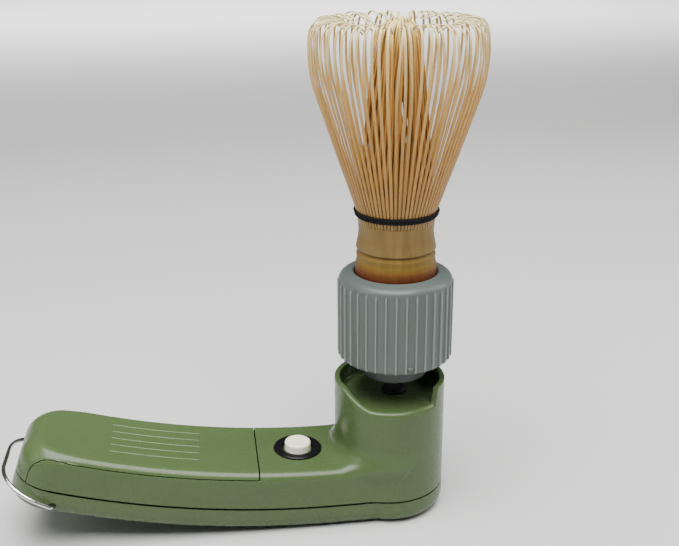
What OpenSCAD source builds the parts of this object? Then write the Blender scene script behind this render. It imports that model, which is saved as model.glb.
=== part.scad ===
// Battery-driven tea whisk: a bamboo whisk held in a screw-down chuck on top of a
// two-part plastic casing, with a bowed handle that holds two AA cells side by side.
// Millimetres. The spindle's axis is +Z, the handle runs towards -X, and the foot stands on z = 0.

/* [Body] */
// Radius of the round head that carries the spindle
head_r = 18.05; // [15:0.05:26]
// How far the head's centre is from the spindle, along X
head_x = -1.6; // [-3:0.1:0]
// Height of the head's rim
rim_z = 46; // [40:0.5:60]
// Width of the handle
handle_w = 33.6; // [33.6:0.1:45]
// Thickness of the handle, underside to top
case_h = 21; // [21:0.1:26]
// Wall thickness of the casing
wall = 1.8; // [1.2:0.1:2.4]
// Distance from the spindle to where the handle starts to bow upwards
bow_start = 22; // [20:0.5:30]
// Radius of the bow, measured on the underside
bow_r = 300; // [250:5:400]
// Angle of the bow at the handle's far end
end_angle = 20; // [18:0.1:22]
// Height of the line where the two casings meet
part_h = 8.5; // [7:0.1:10]
// Radius of the lower edges
low_r = 5; // [3:0.1:6]
// Radius of the upper edges
top_r = 3; // [2.2:0.1:4]
// Corner radius of the far end, seen from above
plan_r = 11; // [8:0.5:13]
// Corner radius of the far end, seen from the side
side_r = 8; // [6:0.5:9.5]

/* [Rim] */
// Depth of the round recess below the rim
recess_d = 5.7; // [3:0.1:8]
// Start of the scoop cut through the rim, in degrees about the head
scoop_from = -146; // [-160:1:-120]
// End of the scoop
scoop_to = -27; // [-60:1:-10]

/* [Cover and button] */
// Distance from the spindle to the battery cover's front edge
cover_x = 46.1; // [44:0.5:60]
// Distance from the spindle to the button
button_x = 32.4; // [30:0.2:38]
// Radius of the button's cap
button_r = 4.3; // [3.5:0.1:5.5]
// Outer radius of the ring round the button
bezel_r = 8; // [7:0.1:9]

/* [Chuck] */
// Radius over the ribs of the chuck nut
nut_r = 18.5; // [18.5:0.1:24]
// Gap between the head's rim and the chuck nut
nut_gap = 7.7; // [6:0.1:12]
// Length of the ribbed part
nut_h = 26.3; // [24:0.1:30]
// Number of ribs
rib_count = 36; // [24:1:48]

/* [Whisk] */
// Height of the tines above the chuck's shoulder
whisk_h = 81.6; // [66:0.2:100]
// Largest radius of the outer tines
bell_r = 26.9; // [22:0.1:33]
// Number of outer tines
outer_count = 72; // [40:1:80]
// Number of inner tines
inner_count = 36; // [20:1:40]
// Width of one outer tine
tine_w = 0.9; // [0.6:0.05:1]

/* [Hanging loop] */
// Radius of the loop's wire
wire_r = 0.65; // [0.5:0.05:0.9]
// Reach of the loop from its pivot
loop_reach = 17.6; // [17:0.1:24]
// Angle of the loop above level
loop_tilt = 30; // [0:1:36]

/* [Hidden] */
$fa = 4;
$fs = 0.4;
eps = 0.01;
gap = 0.15;
half_w = handle_w / 2;
recess_z = rim_z - recess_d;
ceiling_z = recess_z - wall;
cavity_r = head_r - wall;

// battery bay
cell_r = 7.25;
cell_l = 50.5;
cell_y = 7.35;
cell_h = case_h - 10;
spring_l = 3.9;
bay_half = (cell_l + spring_l) / 2;
contact_t = 0.4;
divider_t = 1.6;
bay_angle = asin((80 - bow_start) / (bow_r - cell_h));
seam_angle = asin((cover_x - bow_start) / (bow_r - case_h));
tail_angle = end_angle - 0.8;
button_angle = asin((button_x - bow_start) / (bow_r - case_h));
lip_h = case_h - 2;
seat_drop = 0.05;
flange_t = 1.5;

// groove across the underside
groove_angle = end_angle - 5.8;
groove_r = 6;
groove_d = 0.9;

// loop pivot
pivot_angle = end_angle - 2.65;
pivot_h = 3.8;
loop_y = half_w + 1.4;
loop_bend = 13;

// gear train and motor
motor_x = -8;
motor_z = 6.5;
motor_l = 20.5;
motor_top = motor_z + motor_l;
motor_r = 10;
motor_flat = 7.5;
shaft_r = 1;
tooth_m = 0.4;
pinion_n = 12;
gear_n = 28;
pressure = 25;
gear_z = 31.2;
gear_t = 4;
plate_t = 3;
spindle_r = 2;
running = 0.05;

// chuck
nut_z = rim_z + nut_gap;
shoulder_z = nut_z + nut_h;
rib_out = 0.45;
nut_body_r = nut_r - rib_out;
thread_r = nut_r - 2.1;
grip_r = nut_r - 5.6;
hub_floor = nut_z + 3.3;
hub_top = nut_z + 10.1;
collet_top = shoulder_z - 2;
boss_r = 10.5;
boss_z = nut_z - 6.1;
grip_bore = grip_r + 0.2;

// whisk
lip_z = shoulder_z + 2.6;
split_z = shoulder_z + 20;
band_z = shoulder_z + 21;
band_t = 1.6;
top_z = shoulder_z + whisk_h;

// screws that hold the casings together
front_screw = [6, 9.5];
mid_screw = [-22, 10.2];
rear_angle = end_angle - 1.6;
post_r = 2.75;
screw_r = 1.2;

// ---------- shared shapes ----------

// moves a shape to a place along the bow; there x points back to the head and z is height
module at_bow(angle) {
  translate([-bow_start, 0, bow_r])
    rotate([0, angle, 0])
      translate([0, 0, -bow_r])
        children();
}

// sweeps a flat section (x is height, y is width) along the bow between two angles
module sweep(from, to) {
  translate([-bow_start, 0, bow_r])
    rotate([0, from, 0])
      rotate([-90, 0, 0])
        rotate([0, 0, 90])
          rotate_extrude(angle = to - from, $fn = 720)
            translate([bow_r, 0])
              mirror([1, 0])
                children();
}

// runs the same section straight, from one x to a lower x
module run(from, length) {
  translate([from, 0, 0])
    rotate([0, -90, 0])
      linear_extrude(length)
        children();
}

// points round one corner of an outline
function corner(x, y, r, from) = [for (a = [from:30:from + 90]) [x + r * cos(a), y + r * sin(a)]];

// the handle's section between two heights, drawn in by an inset
module section(inset, low = -1, high = 50) {
  low_c = low_r - inset;
  top_c = top_r - inset;
  side = half_w - inset;
  intersection() {
    polygon(concat(
      corner(low_r, -side + low_c, low_c, 180),
      corner(case_h - top_r, -side + top_c, top_c, 270),
      corner(case_h - top_r, side - top_c, top_c, 0),
      corner(low_r, side - low_c, low_c, 90)
    ));
    translate([low, -40])
      square([high - low, 80]);
  }
}

// the far end's outline from above, with rounded corners
module end_plan(inset) {
  side = half_w - inset;
  r = plan_r - inset;
  polygon(concat(
    [[200, side + 1], [plan_r, side + 1]],
    corner(plan_r, side - r, r, 90),
    corner(plan_r, -side + r, r, 180),
    [[plan_r, -side - 1], [200, -side - 1]]
  ));
}

// the far end's outline from the side, with rounded corners
module end_side(inset) {
  r = side_r - inset;
  polygon(concat(
    [[200, 90], [side_r, 90]],
    corner(side_r, case_h - side_r + 0.15, r, 90),
    corner(side_r, side_r, r, 180),
    [[side_r, -30], [200, -30]]
  ));
}

// the bowed handle with its rounded far end, between two heights
module bowed(inset, low, high, from) {
  intersection() {
    sweep(from, end_angle + 0.5)
      section(inset, low, high);
    at_bow(end_angle)
      translate([0, 0, -40])
        linear_extrude(140)
          end_plan(inset);
    at_bow(end_angle)
      translate([0, 40, 0])
        rotate([90, 0, 0])
          linear_extrude(80)
            end_side(inset);
  }
}

// the round head as a solid, between two heights
module head_solid(inset, low, high) {
  r = head_r - inset;
  c = low_r - inset;
  translate([head_x, 0, 0])
    rotate_extrude($fn = 180)
      intersection() {
        polygon(concat([[0, inset]], corner(r - c, low_r, c, 270), [[r, 60], [0, 60]]));
        translate([0, low])
          square([40, high - low]);
      }
}

// stepped blend between the head and the handle's top
module head_blend() {
  blend = 4;
  intersection() {
    translate([head_x, 0, 0])
      rotate_extrude($fn = 180)
        polygon(concat(
          [[head_r - 1, case_h + blend], [head_r - 1, case_h - 1], [head_r + blend, case_h - 1]],
          [for (a = [270:-22.5:180]) [head_r + blend + blend * cos(a), case_h + blend + blend * sin(a)]]
        ));
    translate([-bow_start, -half_w + top_r + 0.5, case_h - 0.5])
      cube([bow_start - 4, handle_w - 2 * top_r - 1, 20]);
  }
}

// hollow inside the head and handle
module body_inner() {
  head_solid(wall, -1, ceiling_z);
  run(0, bow_start)
    section(wall);
  bowed(wall, -1, 50, 0);
}

// ---------- casing ----------

module post_holes(radius) {
  for (s = [-1, 1]) {
    translate([front_screw[0], s * front_screw[1], -5])
      cylinder(r = radius, h = 22, $fn = 32);
    translate([mid_screw[0], s * mid_screw[1], -5])
      cylinder(r = radius, h = 22, $fn = 32);
  }
  at_bow(rear_angle)
    translate([0, 0, -5])
      cylinder(r = radius, h = 19, $fn = 32);
}

module counterbores() {
  for (s = [-1, 1]) {
    translate([front_screw[0], s * front_screw[1], -1])
      cylinder(r = 2.4, h = 3.8, $fn = 32);
    translate([mid_screw[0], s * mid_screw[1], -1])
      cylinder(r = 2.4, h = 3.8, $fn = 32);
  }
  at_bow(rear_angle)
    translate([0, 0, -1])
      cylinder(r = 2.4, h = 3.8, $fn = 32);
}

// cut through the front of the rim, sloping in at its left end
module scoop() {
  intersection() {
    translate([head_x, 0, recess_z + 0.2])
      rotate([0, 0, scoop_from])
        rotate_extrude(angle = scoop_to - scoop_from, $fn = 180)
          translate([cavity_r - 4, 0])
            square([20, 20]);
    translate([0, 30, 0])
      rotate([90, 0, 0])
        linear_extrude(60)
          polygon([
            [head_x - 15, rim_z + 1],
            [head_x - 8.5, recess_z + 0.2],
            [head_x + 30, recess_z + 0.2],
            [head_x + 30, rim_z + 1]
          ]);
  }
}

// narrow step round the joint between the casings
module joint_line() {
  step = 0.4;
  depth = 0.5;
  neck = -head_x + sqrt(head_r * head_r - half_w * half_w);
  run(-neck - 0.3, bow_start - neck - 0.3)
    joint_band(step, depth);
  sweep(0, end_angle)
    joint_band(step, depth);
  intersection() {
    translate([head_x, 0, part_h])
      rotate_extrude($fn = 180)
        translate([head_r - depth, -0.2])
          square([3, step + 0.2]);
    translate([0.3 - neck, -40, 0])
      cube([60, 80, 60]);
  }
}

module joint_band(step, depth) {
  for (s = [0, 1])
    mirror([0, s])
      translate([part_h - 0.2, half_w - depth])
        square([step + 0.2, 3]);
}

module upper_casing() {
  color([0.38, 0.47, 0.30])
    difference() {
      union() {
        difference() {
          union() {
            head_solid(0, part_h, rim_z);
            run(0, bow_start)
              section(0, part_h, case_h);
            head_blend();
            sweep(0, seam_angle)
              section(0, lip_h - 2, case_h);
            sweep(0, tail_angle)
              section(0, part_h, lip_h - gap);
          }
          body_inner();
        }
        // screw posts inside the casing, with webs to the wall
        for (s = [-1, 1]) {
          translate([front_screw[0], s * front_screw[1], part_h])
            cylinder(r = post_r, h = 14, $fn = 32);
          translate([front_screw[0], s * front_screw[1], part_h])
            rotate([0, 0, s * 51])
              translate([0, -0.8, 0])
                cube([cavity_r - 11.8, 1.6, 14]);
          translate([mid_screw[0], s * mid_screw[1], part_h])
            cylinder(r = post_r, h = case_h - part_h - 1, $fn = 32);
        }
        // posts that the gear plate is screwed to
        for (s = [-1, 1])
          translate([head_x, s * (cavity_r - 2.6), gear_z - 1.2])
            cylinder(r = 2.4, h = ceiling_z + 1 - gear_z + 1.2, $fn = 32);
        // wall that closes the battery bay under the cover's tail
        at_bow(tail_angle)
          translate([0.1, -half_w + wall - 0.3, part_h + 0.02])
            cube([1.6, handle_w - 2 * wall + 0.6, lip_h - part_h - 0.4]);
        at_bow(rear_angle)
          translate([0, 0, part_h + 0.1])
            cylinder(r = post_r, h = 7.5, $fn = 32);
      }
      // round recess under the chuck
      translate([head_x, 0, recess_z])
        cylinder(r = cavity_r, h = recess_d + 1, $fn = 180);
      scoop();
      // hole for the upper bush
      translate([0, 0, ceiling_z - 1])
        cylinder(r = 3.25, h = wall + 2, $fn = 48);
      // hole for the button's ring, and a flat seat round it
      at_bow(button_angle) {
        translate([0, 0, case_h - 6])
          cylinder(r = bezel_r - 1.5, h = 12, $fn = 64);
        translate([0, 0, case_h - seat_drop])
          cylinder(r = bezel_r + 0.1, h = 3, $fn = 90);
      }
      post_holes(screw_r + 0.05);
      // screw holes in the gear plate's posts
      for (s = [-1, 1])
        translate([head_x, s * (cavity_r - 2.6), gear_z - 3])
          cylinder(r = 0.85, h = 6.5, $fn = 24);
      joint_line();
    }
}

module lower_casing() {
  color([0.38, 0.47, 0.30])
    difference() {
      union() {
        difference() {
          union() {
            head_solid(0, 0, part_h);
            run(0, bow_start)
              section(0, 0, part_h);
            bowed(0, 0, part_h, 0);
          }
          body_inner();
        }
        // screw bosses
        for (s = [-1, 1]) {
          translate([front_screw[0], s * front_screw[1], 0.6])
            cylinder(r = post_r + 0.3, h = part_h - 0.6, $fn = 32);
          translate([mid_screw[0], s * mid_screw[1], 0.6])
            cylinder(r = post_r + 0.3, h = part_h - 0.6, $fn = 32);
        }
        at_bow(rear_angle)
          translate([0, 0, 0.7])
            cylinder(r = post_r + 0.3, h = part_h - 0.8, $fn = 32);
        // ring that the motor stands on
        translate([motor_x, 0, 1])
          difference() {
            cylinder(r = 8.2, h = motor_z - 2.5 - 1, $fn = 64);
            translate([0, 0, -1])
              cylinder(r = 6.8, h = 8, $fn = 64);
          }
        // pillar under the switch
        at_bow(button_angle)
          translate([-3, -3, 1])
            cube([6, 6, 6]);
        // cradle ribs under the cells
        at_bow(bay_angle)
          difference() {
            for (x = [-16, 0, 16])
              translate([x - 0.8, -half_w + wall - 0.1, 1.2])
                cube([1.6, handle_w - 2 * wall + 0.2, 6]);
            for (s = [-1, 1])
              translate([-40, s * cell_y, cell_h])
                rotate([0, 90, 0])
                  cylinder(r = cell_r + 0.1, h = 80, $fn = 96);
            for (s = [-1, 1])
              translate([-40, s * half_w - 3.8, -2])
                cube([80, 7.6, 5]);
          }
        // walls at both ends of the battery bay
        at_bow(bay_angle)
          for (x = [-bay_half - contact_t - divider_t, bay_half + contact_t]) {
            translate([x, -half_w + wall + 0.2, 4.6])
              cube([divider_t, handle_w - 2 * wall - 0.4, 12]);
            translate([x, -half_w + 5, 2.4])
              cube([divider_t, handle_w - 10, 3]);
          }
      }
      counterbores();
      post_holes(screw_r + 0.05);
      // slots for the contacts' solder tabs
      at_bow(bay_angle)
        for (s = [-1, 1])
          translate([bay_half - 1, s * cell_y - 1.7, 5.3])
            cube([5, 3.4, 1]);
      // holes for the loop's ends
      at_bow(pivot_angle)
        translate([0, 0, pivot_h])
          rotate([90, 0, 0])
            cylinder(r = wire_r + 0.1, h = 2 * half_w + 2, center = true, $fn = 32);
      // grip groove across the underside
      at_bow(groove_angle)
        translate([0, -half_w - 1, -groove_r + groove_d])
          rotate([-90, 0, 0])
            cylinder(r = groove_r, h = handle_w + 2, $fn = 90);
    }
}

module battery_cover() {
  color([0.38, 0.47, 0.30])
    union() {
      difference() {
        union() {
          bowed(0, lip_h, case_h + 1, seam_angle + 0.06);
          bowed(0, part_h + 0.2, lip_h + 0.5, tail_angle + 0.03);
        }
        body_inner();
      }
      // locating ribs inside the bay
      for (s = [0, 1])
        mirror([0, s, 0])
          sweep(seam_angle + 2.2, tail_angle - 1.2)
            translate([case_h - 3.6, half_w - wall - 1.6])
              square([2.4, 1.2]);
      // cross rib that holds the cells down
      sweep(bay_angle - 0.15, bay_angle + 0.15)
        translate([cell_h + cell_r + 0.25, -4])
          square([case_h - wall - cell_h - cell_r, 8]);
    }
}

module screw_shape(head, head_t, length) {
  difference() {
    union() {
      cylinder(r = head, h = head_t, $fn = 32);
      cylinder(r = screw_r, h = length, $fn = 32);
    }
    for (a = [0, 90])
      rotate([0, 0, a])
        translate([-head * 0.65, -0.3, -eps])
          cube([head * 1.3, 0.6, 0.9]);
  }
}

module casing_screws() {
  color([0.62, 0.62, 0.64]) {
    for (s = [-1, 1]) {
      translate([front_screw[0], s * front_screw[1], 1.1])
        screw_shape(2.2, 1.7, 14);
      translate([mid_screw[0], s * mid_screw[1], 1.1])
        screw_shape(2.2, 1.7, 14);
    }
    at_bow(rear_angle)
      translate([0, 0, 1.1])
        screw_shape(2.2, 1.7, 12);
  }
}

// ---------- button and switch ----------

module button_cap() {
  color([0.88, 0.87, 0.80])
    at_bow(button_angle) {
      difference() {
        union() {
          translate([0, 0, case_h - 2.5])
            cylinder(r = button_r, h = 5.2, $fn = 64);
          translate([0, 0, case_h + 2.7])
            cylinder(r1 = button_r, r2 = button_r - 0.6, h = 0.6, $fn = 64);
          translate([0, 0, case_h - 3.7])
            cylinder(r = button_r + 1.4, h = flange_t, $fn = 64);
        }
        // shallow dish for the thumb
        translate([0, 0, case_h + 3.3 + 19.7])
          sphere(r = 20, $fn = 180);
      }
      translate([0, 0, case_h - 6.4])
        cylinder(r = 1.8, h = 2.8, $fn = 32);
    }
}

module button_bezel() {
  color([0.12, 0.11, 0.13])
    at_bow(button_angle)
      rotate_extrude($fn = 90)
        polygon([
          [button_r + 0.25, case_h - 2.1],
          [bezel_r - 1.6, case_h - 2.1],
          [bezel_r - 1.6, case_h - seat_drop],
          [bezel_r, case_h - seat_drop],
          [bezel_r, case_h + 0.35],
          [bezel_r - 0.5, case_h + 0.8],
          [button_r + 0.8, case_h + 0.8],
          [button_r + 0.25, case_h + 0.4]
        ]);
}

module button_spring() {
  color([0.7, 0.7, 0.72])
    at_bow(button_angle)
      for (i = [0:4])
        translate([0, 0, case_h - 7.6 + i * 0.86])
          rotate_extrude($fn = 48)
            translate([3.1, 0])
              circle(r = 0.24, $fn = 16);
}

module switch_body() {
  color([0.1, 0.1, 0.11])
    at_bow(button_angle)
      difference() {
        union() {
          translate([-5, -5, 7])
            cube([10, 10, case_h - 7.9 - 7]);
          for (s = [-1, 1])
            translate([s * 4.2 - 0.3, -1.2, 4.4])
              cube([0.6, 2.4, 3]);
        }
        translate([0, 0, case_h - 7.9 - 2.2])
          cylinder(r = 2, h = 4, $fn = 32);
      }
}

// ---------- hanging loop ----------

module hanging_wire() {
  straight = loop_reach - loop_bend;
  color([0.75, 0.75, 0.76])
    at_bow(pivot_angle)
      translate([0, 0, pivot_h])
        rotate([0, loop_tilt - pivot_angle, 0])
          for (s = [-1, 1]) {
            // end that turns into the casing
            translate([0, s * loop_y, 0])
              rotate([s * 90, 0, 0])
                cylinder(r = wire_r, h = 4, $fn = 24);
            translate([0, s * loop_y, 0])
              sphere(r = wire_r, $fn = 24);
            translate([0, s * loop_y, 0])
              rotate([0, -90, 0])
                cylinder(r = wire_r, h = straight, $fn = 24);
            translate([-straight, s * (loop_y - loop_bend), 0])
              rotate([0, 0, s > 0 ? 90 : 180])
                rotate_extrude(angle = 90, $fn = 96)
                  translate([loop_bend, 0])
                    circle(r = wire_r, $fn = 24);
            translate([-loop_reach, 0, 0])
              rotate([-s * 90, 0, 0])
                cylinder(r = wire_r, h = loop_y - loop_bend, $fn = 24);
          }
}

// ---------- chuck ----------

module chuck_nut() {
  cone_z = hub_top + 2.2;
  color([0.42, 0.46, 0.45])
    union() {
      rotate_extrude($fn = 180)
        polygon([
          [thread_r + 0.2, nut_z],
          [nut_body_r - 0.7, nut_z],
          [nut_body_r, nut_z + 0.9],
          [nut_body_r, shoulder_z - 0.6],
          [nut_body_r - 0.3, shoulder_z + 0.5],
          [nut_body_r - 1.1, shoulder_z + 1.3],
          [nut_body_r - 2.4, shoulder_z + 2],
          [grip_bore + 1, lip_z],
          [grip_bore + 0.4, lip_z],
          [grip_bore + 0.1, lip_z - 0.4],
          [grip_bore + 0.1, collet_top + 0.3],
          [grip_bore + 0.8, collet_top + 0.3],
          [thread_r + 0.2, cone_z]
        ]);
      for (i = [0:rib_count - 1])
        rotate([0, 0, i * 360 / rib_count])
          translate([nut_body_r - 0.3, -0.25, nut_z + 1.3])
            cube([rib_out + 0.3, 0.5, nut_h - 1.9]);
      // index mark low in one flute
      rotate([0, 0, -65])
        translate([nut_body_r - 0.3, -0.9, nut_z + 4.6])
          cube([0.6, 1.8, 1.2]);
    }
}

module chuck_collet() {
  color([0.82, 0.82, 0.8])
    difference() {
      rotate_extrude($fn = 120)
        polygon([
          [grip_bore, hub_top],
          [thread_r, hub_top],
          [thread_r, hub_top + 2],
          [grip_bore + 0.65, collet_top],
          [grip_bore, collet_top]
        ]);
      for (i = [0:5])
        rotate([0, 0, 30 + i * 60])
          translate([5, -0.6, hub_top + 2.6])
            cube([20, 1.2, 30]);
    }
}

module chuck_hub() {
  color([0.33, 0.36, 0.36])
    difference() {
      union() {
        translate([0, 0, boss_z])
          cylinder(r = boss_r, h = nut_z - boss_z + 0.3, $fn = 120);
        translate([0, 0, nut_z + 0.2])
          cylinder(r = thread_r, h = hub_top - nut_z - 0.2, $fn = 120);
      }
      // cup that the bamboo grip stands in
      translate([0, 0, hub_floor])
        cylinder(r = grip_bore, h = 20, $fn = 120);
      // hole for the spindle
      translate([0, 0, boss_z - 1])
        cylinder(r = spindle_r + 0.02, h = 7.9, $fn = 48);
      translate([0, 0, boss_z])
        cylinder(r = 1.3, h = 8, $fn = 32);
      // pocket for the screw's head
      translate([0, 0, boss_z + 7.3])
        cylinder(r = 2.9, h = 8, $fn = 48);
    }
}

module hub_screw() {
  color([0.62, 0.62, 0.64])
    difference() {
      union() {
        translate([0, 0, boss_z + 7.32])
          cylinder(r = 2.5, h = 1.7, $fn = 48);
        translate([0, 0, boss_z + 1])
          cylinder(r = 1.2, h = 7, $fn = 32);
      }
      for (a = [0, 90])
        rotate([0, 0, a])
          translate([-1.6, -0.3, boss_z + 8.2])
            cube([3.2, 0.6, 2]);
    }
}

module spindle() {
  color([0.7, 0.7, 0.72])
    difference() {
      translate([0, 0, motor_top + 0.6])
        cylinder(r = spindle_r, h = boss_z + 6.85 - motor_top - 0.6, $fn = 48);
      translate([0, 0, boss_z + 0.8])
        cylinder(r = 1.22, h = 10, $fn = 32);
    }
}

// ---------- gear train ----------

// one flank's half angle at a radius, for a tooth of the given count
function roll(a) = tan(a) * 180 / PI - a;
function flank(n, r, slack) =
  90 / n - slack + roll(pressure) - roll(acos(min(1, tooth_m * n / 2 * cos(pressure) / r)));
function tooth(n, low, high, slack, turn) = [
  for (k = [0:4]) let (r = low + (high - low) * k / 4) [r * cos(turn - flank(n, r, slack)), r * sin(turn - flank(n, r, slack))],
  for (k = [4:-1:0]) let (r = low + (high - low) * k / 4) [r * cos(turn + flank(n, r, slack)), r * sin(turn + flank(n, r, slack))]
];

module gear_shape(n, phase, slack) {
  pitch = tooth_m * n / 2;
  polygon([for (i = [0:n - 1]) each tooth(n, pitch - 0.5, pitch + 0.36, slack, phase + i * 360 / n)]);
}

module output_gear() {
  color([0.86, 0.85, 0.8])
    difference() {
      union() {
        translate([0, 0, gear_z])
          linear_extrude(gear_t)
            gear_shape(gear_n, 0, 0.45);
        translate([0, 0, gear_z - 0.5])
          cylinder(r = 3.4, h = gear_t + 1.3, $fn = 48);
      }
      translate([0, 0, gear_z - 2])
        cylinder(r = spindle_r + 0.02, h = 20, $fn = 48);
    }
}

module pinion() {
  color([0.78, 0.62, 0.3])
    translate([motor_x, 0, gear_z - 0.3])
      difference() {
        linear_extrude(gear_t + 0.6)
          gear_shape(pinion_n, 15, 1);
        translate([0, 0, -1])
          cylinder(r = shaft_r + 0.02, h = 20, $fn = 32);
      }
}

module upper_bush() {
  color([0.72, 0.52, 0.28])
    difference() {
      union() {
        translate([0, 0, ceiling_z - 1])
          cylinder(r = 4.6, h = 1, $fn = 48);
        translate([0, 0, ceiling_z - eps])
          cylinder(r = 3.2, h = wall, $fn = 48);
      }
      translate([0, 0, ceiling_z - 3])
        cylinder(r = spindle_r + running, h = 10, $fn = 48);
    }
}

module lower_bush() {
  color([0.72, 0.52, 0.28])
    difference() {
      union() {
        translate([0, 0, motor_top + 0.4])
          cylinder(r = 3.2, h = plate_t - 0.4, $fn = 48);
        translate([0, 0, motor_top + plate_t])
          cylinder(r = 4, h = 0.6, $fn = 48);
      }
      translate([0, 0, motor_top + 0.2])
        cylinder(r = spindle_r + running, h = 10, $fn = 48);
    }
}

module shaft_seal() {
  color([0.07, 0.07, 0.07])
    difference() {
      union() {
        translate([0, 0, recess_z])
          cylinder(r = 4, h = 1.2, $fn = 64);
        translate([0, 0, recess_z])
          cylinder(r = 3.1, h = boss_z - recess_z - 0.4, $fn = 64);
      }
      translate([0, 0, recess_z - 1])
        cylinder(r = spindle_r + running, h = 20, $fn = 48);
    }
}

module gear_plate() {
  color([0.6, 0.6, 0.62])
    difference() {
      intersection() {
        translate([head_x, 0, motor_top])
          cylinder(r = cavity_r - 0.35, h = plate_t, $fn = 120);
        translate([-30, -40, 0])
          cube([38, 80, 60]);
      }
      // seat for the motor's nose
      translate([motor_x, 0, motor_top - 1])
        cylinder(r = 3.1, h = 10, $fn = 48);
      // seat for the lower bush
      translate([0, 0, motor_top + 0.4])
        cylinder(r = 3.25, h = 10, $fn = 48);
      for (s = [-1, 1]) {
        translate([motor_x, s * 6.6, motor_top - 1])
          cylinder(r = 0.85, h = 10, $fn = 24);
        translate([head_x, s * (cavity_r - 2.6), motor_top - 1])
          cylinder(r = 0.85, h = 10, $fn = 24);
      }
    }
}

module plate_screws() {
  color([0.62, 0.62, 0.64])
    for (s = [-1, 1]) {
      translate([motor_x, s * 6.6, motor_top - 0.6]) {
        cylinder(r = 0.8, h = 3.7, $fn = 24);
        translate([0, 0, 3.6])
          cylinder(r = 1.6, h = 1, $fn = 24);
      }
      translate([head_x, s * (cavity_r - 2.6), motor_top - 1]) {
        cylinder(r = 1.6, h = 1, $fn = 24);
        cylinder(r = 0.8, h = 7.5, $fn = 24);
      }
    }
}

// ---------- motor ----------

// a round can with two flat sides
module can_shape(inset, z, h) {
  translate([motor_x, 0, z])
    intersection() {
      cylinder(r = motor_r - inset, h = h, $fn = 96);
      translate([-motor_flat + inset, -20, -1])
        cube([2 * (motor_flat - inset), 40, h + 2]);
    }
}

module motor_can() {
  color([0.66, 0.67, 0.68])
    difference() {
      union() {
        can_shape(0, motor_z, motor_l);
        translate([motor_x, 0, motor_top - 1])
          cylinder(r = 3, h = 2.4, $fn = 48);
      }
      can_shape(0.7, motor_z - 1, motor_l);
      translate([motor_x, 0, 0])
        cylinder(r = shaft_r + running, h = 60, $fn = 32);
      for (s = [-1, 1])
        translate([motor_x, s * 6.6, motor_top - 2])
          cylinder(r = 0.85, h = 10, $fn = 24);
    }
}

module motor_magnets() {
  color([0.2, 0.2, 0.22])
    intersection() {
      translate([motor_x, 0, motor_z + 3.5])
        difference() {
          cylinder(r = motor_r - 0.72, h = 14, $fn = 96);
          translate([0, 0, -1])
            cylinder(r = 7.1, h = 20, $fn = 96);
        }
      translate([motor_x - 6, -20, 0])
        cube([12, 40, 60]);
    }
}

module motor_end_cap() {
  color([0.85, 0.84, 0.8])
    difference() {
      union() {
        can_shape(0, motor_z - 2.5, 2.5);
        can_shape(0.75, motor_z - 1, 2.2);
      }
      translate([motor_x, 0, motor_z - 1.2])
        cylinder(r = 4, h = 5, $fn = 48);
      translate([motor_x, 0, 0])
        cylinder(r = shaft_r + running, h = 60, $fn = 32);
    }
}

module motor_armature() {
  color([0.5, 0.5, 0.52])
    translate([motor_x, 0, motor_z + 5])
      difference() {
        cylinder(r = 6.7, h = 11, $fn = 96);
        translate([0, 0, -1])
          cylinder(r = shaft_r + 0.02, h = 20, $fn = 32);
        for (i = [0:2])
          rotate([0, 0, i * 120]) {
            translate([4.9, 0, -1])
              cylinder(r = 1.5, h = 20, $fn = 32);
            translate([4.9, -0.5, -1])
              cube([4, 1, 20]);
          }
      }
}

module motor_windings() {
  color([0.72, 0.38, 0.18])
    translate([motor_x, 0, motor_z])
      difference() {
        for (z = [3.3, 16])
          for (i = [0:2])
            rotate([0, 0, 60 + i * 120])
              translate([1.6, -2.6, z])
                cube([4, 5.2, 1.7]);
        cylinder(r = 1.6, h = 40, $fn = 32);
      }
}

module motor_commutator() {
  color([0.78, 0.48, 0.28])
    translate([motor_x, 0, motor_z + 0.3])
      difference() {
        cylinder(r = 2.2, h = 2.9, $fn = 48);
        translate([0, 0, -1])
          cylinder(r = shaft_r + 0.02, h = 20, $fn = 32);
        for (i = [0:2])
          rotate([0, 0, i * 120])
            translate([1.5, -0.15, -1])
              cube([3, 0.3, 20]);
      }
}

module motor_shaft() {
  color([0.72, 0.72, 0.74])
    translate([motor_x, 0, motor_z - 2.3])
      cylinder(r = shaft_r, h = 32.5, $fn = 32);
}

// ---------- cells and wiring ----------

// one cell; its raised end points along +X
module cell() {
  rotate([0, 90, 0]) {
    cylinder(r = cell_r, h = cell_l - 1.4, $fn = 96);
    translate([0, 0, cell_l - 1.5])
      cylinder(r = 2.75, h = 1.5, $fn = 48);
  }
}

module battery_left() {
  color([0.16, 0.17, 0.19])
    at_bow(bay_angle)
      translate([bay_half - cell_l, cell_y, cell_h])
        cell();
}

module battery_right() {
  color([0.16, 0.17, 0.19])
    at_bow(bay_angle)
      translate([-bay_half + cell_l, -cell_y, cell_h])
        rotate([0, 0, 180])
          cell();
}

// a cell spring as stacked rings, from a plate towards the cell
module cell_spring() {
  for (i = [0:3])
    translate([0.3 + i * (spring_l - 0.75) / 3, 0, 0])
      rotate([0, 90, 0])
        rotate_extrude($fn = 48)
          translate([4.2 - i * 0.5, 0])
            circle(r = 0.35, $fn = 16);
}

module front_contacts() {
  color([0.75, 0.75, 0.76])
    at_bow(bay_angle) {
      for (s = [-1, 1]) {
        translate([bay_half, s * cell_y - 5, cell_h - 5])
          cube([contact_t, 10, 10]);
        translate([bay_half, s * cell_y - 1.5, 5.5])
          cube([4, 3, 0.6]);
        translate([bay_half, s * cell_y - 1.5, 5.5])
          cube([contact_t, 3, 1]);
      }
      translate([bay_half, -cell_y, cell_h])
        mirror([1, 0, 0])
          cell_spring();
    }
}

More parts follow.
